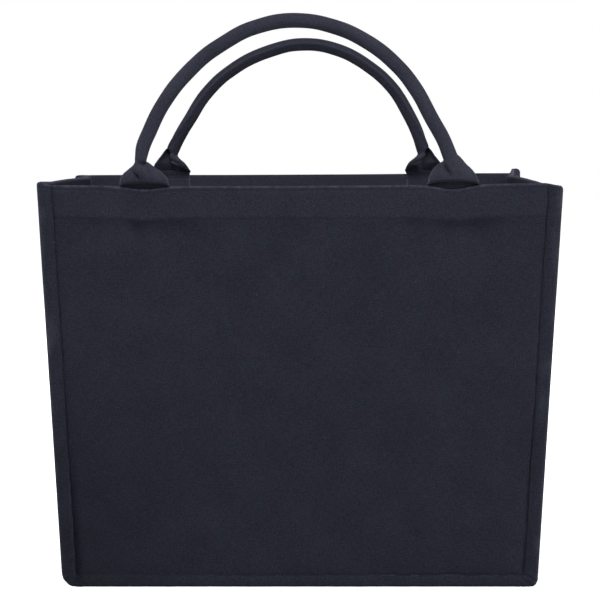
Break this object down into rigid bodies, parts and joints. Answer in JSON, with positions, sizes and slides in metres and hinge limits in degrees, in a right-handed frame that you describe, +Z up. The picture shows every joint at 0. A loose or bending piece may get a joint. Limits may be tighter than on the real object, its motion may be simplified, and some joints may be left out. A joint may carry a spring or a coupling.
{
  "type": "canvas tote bag",
  "caption": "Box-shaped open canvas tote with seams turned outward, a hemmed rim and rope-filled handles that fold over the rim; the body folds flat.",
  "frame": {"origin": "middle of the bag's footprint, on the surface it stands on", "axes": "+Z up, +X to the right along the front panel, +Y from the front panel to the back one"},
  "size_m": [0.4196, 0.195, 0.4675],
  "materials": {
    "canvas": "dark navy-charcoal cotton canvas, plain weave, matte",
    "rope": "undyed twisted cotton rope",
    "thread": "dark sewing thread that matches the canvas"
  },
  "bodies": {
    "front": {"front_panel": "canvas", "left_gusset": "canvas", "right_gusset": "canvas", "bottom_panel": "canvas", "front_left_tab": "canvas", "front_right_tab": "canvas", "front_panel_seam_thread": "thread", "front_hem_thread": "thread", "front_tab_thread": "thread", "left_gusset_hem_thread": "thread", "right_gusset_hem_thread": "thread", "left_bottom_thread": "thread", "right_bottom_thread": "thread"},
    "back": {"back_panel": "canvas", "back_left_tab": "canvas", "back_right_tab": "canvas", "back_panel_seam_thread": "thread", "back_hem_thread": "thread", "back_tab_thread": "thread"},
    "front_handle": {"front_handle_sleeve": "canvas", "front_handle_rope": "rope", "front_sleeve_thread": "thread"},
    "back_handle": {"back_handle_sleeve": "canvas", "back_handle_rope": "rope", "back_sleeve_thread": "thread"}
  },
  "joints": [
    {"name": "fold_flat", "type": "slide", "parent": "front", "child": "back", "axis": [0, -1, 0], "range_m": [0, 0.164], "deforming": ["left_gusset", "right_gusset", "bottom_panel", "left_gusset_hem_thread", "right_gusset_hem_thread", "left_bottom_thread", "right_bottom_thread"]},
    {"name": "front_handle_fold", "type": "hinge", "parent": "front", "child": "front_handle", "pos_m": [0, -0.095, 0.333], "axis": [1, 0, 0], "range_deg": [0, 165]},
    {"name": "back_handle_fold", "type": "hinge", "parent": "back", "child": "back_handle", "pos_m": [0, 0.095, 0.333], "axis": [-1, 0, 0], "range_deg": [0, 165]}
  ]
}
